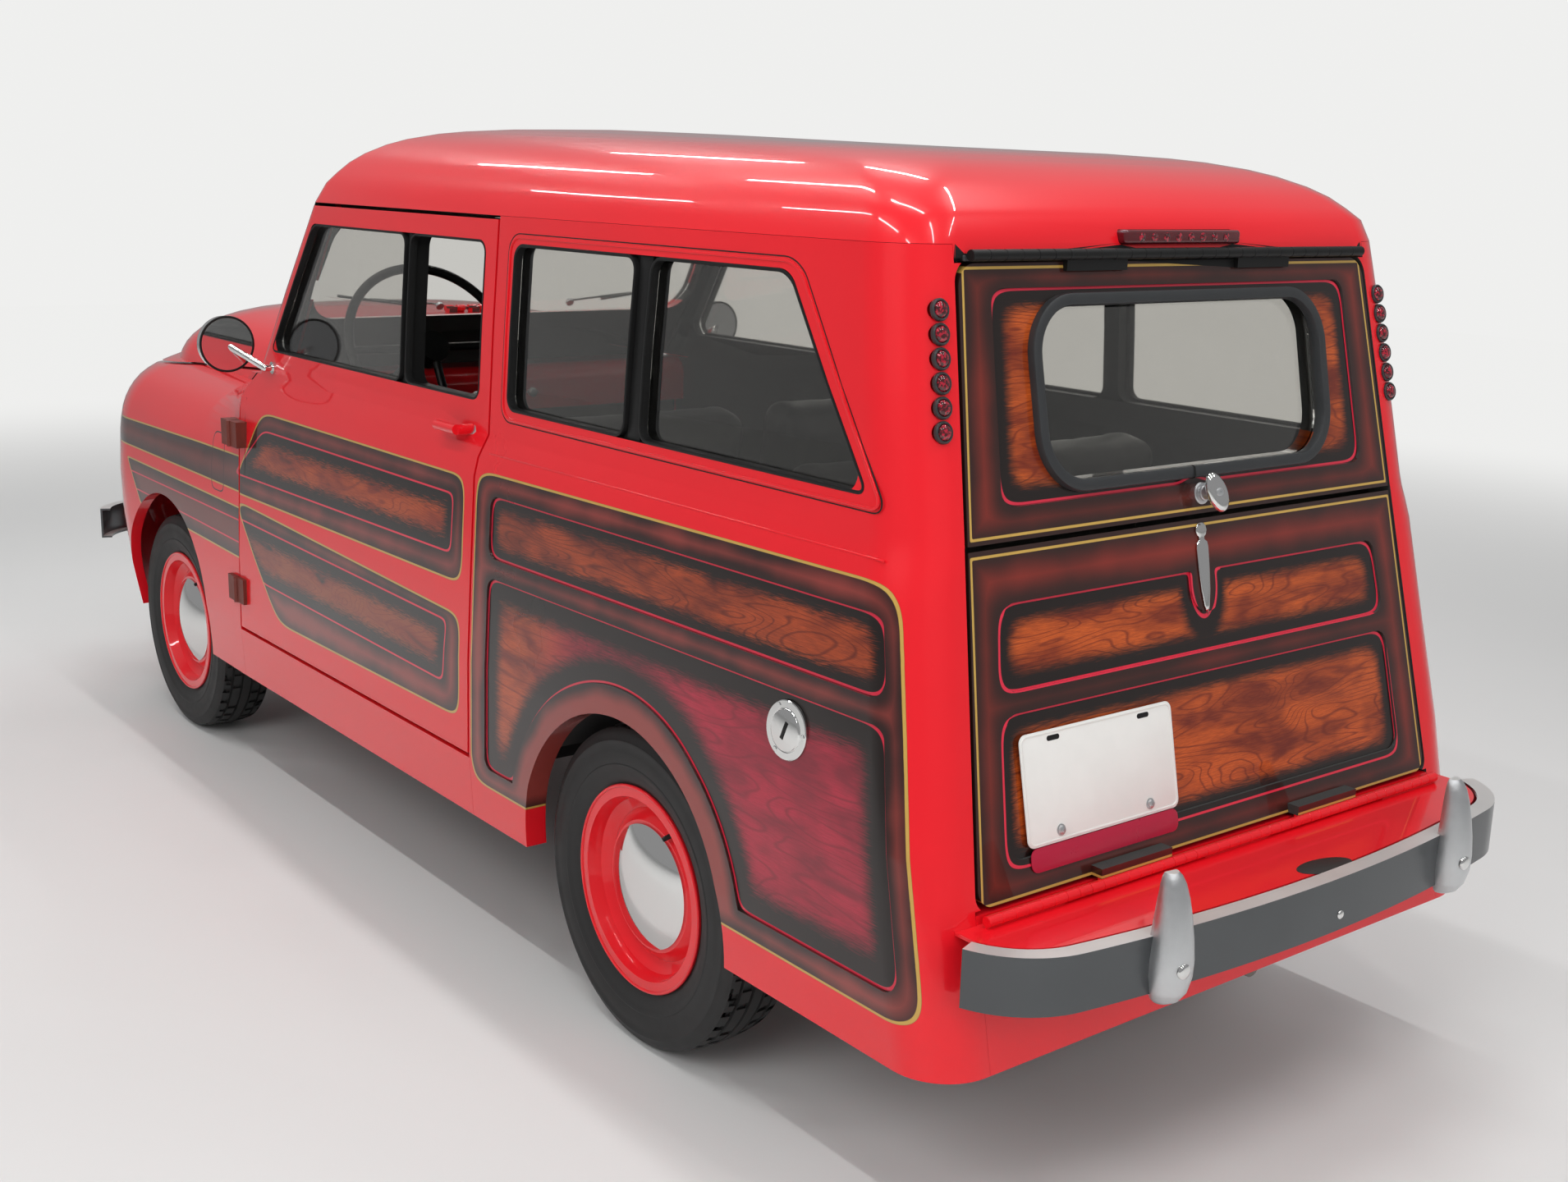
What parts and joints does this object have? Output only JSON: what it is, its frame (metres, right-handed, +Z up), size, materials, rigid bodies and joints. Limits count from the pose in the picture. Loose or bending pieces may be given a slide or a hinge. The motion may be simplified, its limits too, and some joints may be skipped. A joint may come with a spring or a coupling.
{
  "type": "station wagon",
  "caption": "Small late-1940s two-door station wagon with painted wood-look panels, split tail doors, opening hood and doors, rolling wheels and working steering.",
  "frame": {"origin": "on the ground under the middle of the overall length, in the car's middle plane", "axes": "+Y towards the tail, +X towards the car's left side, +Z up"},
  "size_m": [1.396, 3.6828, 1.4539],
  "materials": {
    "body_paint": "gloss red paint with painted wood panels",
    "frame_paint": "satin black",
    "floor_paint": "dark satin",
    "engine_iron": "painted cast iron",
    "exhaust_steel": "dull steel",
    "tinted_glass": "dark tinted glass",
    "lamp_glass": "clear fluted glass",
    "chrome": "bright chrome",
    "wheel_paint": "gloss red",
    "tyre_rubber": "black radial tyre",
    "bumper_metal": "polished bar with cast overriders",
    "lamp_red": "red lens in a black surround",
    "cabin_black": "black",
    "dash_paint": "red painted",
    "seat_vinyl": "dark vinyl"
  },
  "bodies": {
    "body": {"chassis_frame": "frame_paint", "floor_pan": "floor_paint", "front_axle": "frame_paint", "rear_axle": "frame_paint", "exhaust": "exhaust_steel", "engine": "engine_iron", "cowl": "body_paint", "windscreen": "tinted_glass", "roof": "body_paint", "quarter_left": "body_paint", "quarter_right": "body_paint", "quarter_glass": "tinted_glass", "sill_left": "body_paint", "sill_right": "body_paint", "rear_valance": "body_paint", "wing_left": "body_paint", "wing_right": "body_paint", "nose_panel": "body_paint", "grille": "chrome", "headlamps": "chrome", "headlamp_lenses": "lamp_glass", "dashboard": "dash_paint", "steering_column": "cabin_black", "front_seats": "seat_vinyl", "rear_seat": "seat_vinyl", "bumper_front": "bumper_metal", "bumper_rear": "bumper_metal", "tail_lamps": "lamp_red", "brake_lamp": "lamp_red", "fuel_cap": "body_paint"},
    "steering_wheel": {"steering_wheel": "cabin_black"},
    "hood": {"hood": "body_paint"},
    "door_left": {"door_left": "body_paint", "door_glass_left": "tinted_glass", "mirror_left": "chrome"},
    "door_right": {"door_right": "body_paint", "door_glass_right": "tinted_glass", "mirror_right": "chrome"},
    "hatch": {"hatch": "body_paint", "hatch_glass": "tinted_glass"},
    "tailgate": {"tailgate": "body_paint"},
    "knuckle_left": {"knuckle_left": "frame_paint"},
    "knuckle_right": {"knuckle_right": "frame_paint"},
    "wheel_front_left": {"tyre_front_left": "tyre_rubber", "wheel_front_left": "wheel_paint", "hub_cap_front_left": "chrome"},
    "wheel_front_right": {"tyre_front_right": "tyre_rubber", "wheel_front_right": "wheel_paint", "hub_cap_front_right": "chrome"},
    "wheel_rear_left": {"tyre_rear_left": "tyre_rubber", "wheel_rear_left": "wheel_paint", "hub_cap_rear_left": "chrome"},
    "wheel_rear_right": {"tyre_rear_right": "tyre_rubber", "wheel_rear_right": "wheel_paint", "hub_cap_rear_right": "chrome"}
  },
  "joints": [
    {"name": "steer_left", "type": "hinge", "parent": "body", "child": "knuckle_left", "pos_m": [0.43, -1.086, 0.266], "axis": [0, 0, 1], "range_deg": [-30, 30]},
    {"name": "steer_right", "type": "hinge", "parent": "body", "child": "knuckle_right", "pos_m": [-0.43, -1.086, 0.266], "axis": [0, 0, 1], "range_deg": [-30, 30]},
    {"name": "steering_wheel_turn", "type": "hinge", "parent": "body", "child": "steering_wheel", "pos_m": [0.28, -0.29, 1], "axis": [0, 0.8829, 0.4695], "range_deg": [-420, 420]},
    {"name": "spin_front_left", "type": "hinge", "parent": "knuckle_left", "child": "wheel_front_left", "pos_m": [0.508, -1.086, 0.266], "axis": [1, 0, 0], "continuous": true},
    {"name": "spin_front_right", "type": "hinge", "parent": "knuckle_right", "child": "wheel_front_right", "pos_m": [-0.508, -1.086, 0.266], "axis": [1, 0, 0], "continuous": true},
    {"name": "spin_rear_left", "type": "hinge", "parent": "body", "child": "wheel_rear_left", "pos_m": [0.508, 0.946, 0.266], "axis": [1, 0, 0], "continuous": true},
    {"name": "spin_rear_right", "type": "hinge", "parent": "body", "child": "wheel_rear_right", "pos_m": [-0.508, 0.946, 0.266], "axis": [1, 0, 0], "continuous": true},
    {"name": "door_left_hinge", "type": "hinge", "parent": "body", "child": "door_left", "pos_m": [0.618, -0.592, 0.626], "axis": [0, 0, -1], "range_deg": [0, 65]},
    {"name": "door_right_hinge", "type": "hinge", "parent": "body", "child": "door_right", "pos_m": [-0.618, -0.592, 0.626], "axis": [0, 0, 1], "range_deg": [0, 65]},
    {"name": "hatch_hinge", "type": "hinge", "parent": "body", "child": "hatch", "pos_m": [0, 1.484, 1.286], "axis": [1, 0, 0], "range_deg": [0, 85]},
    {"name": "tailgate_hinge", "type": "hinge", "parent": "body", "child": "tailgate", "pos_m": [0, 1.661, 0.456], "axis": [-1, 0, 0], "range_deg": [0, 55]},
    {"name": "hood_hinge", "type": "hinge", "parent": "body", "child": "hood", "pos_m": [0, -0.643, 1.053], "axis": [-1, 0, 0], "range_deg": [0, 50]}
  ],
  "couplings": [
    {"joint": "steer_right", "follows": "steer_left", "ratio": 1},
    {"joint": "steering_wheel_turn", "follows": "steer_left", "ratio": 14}
  ]
}
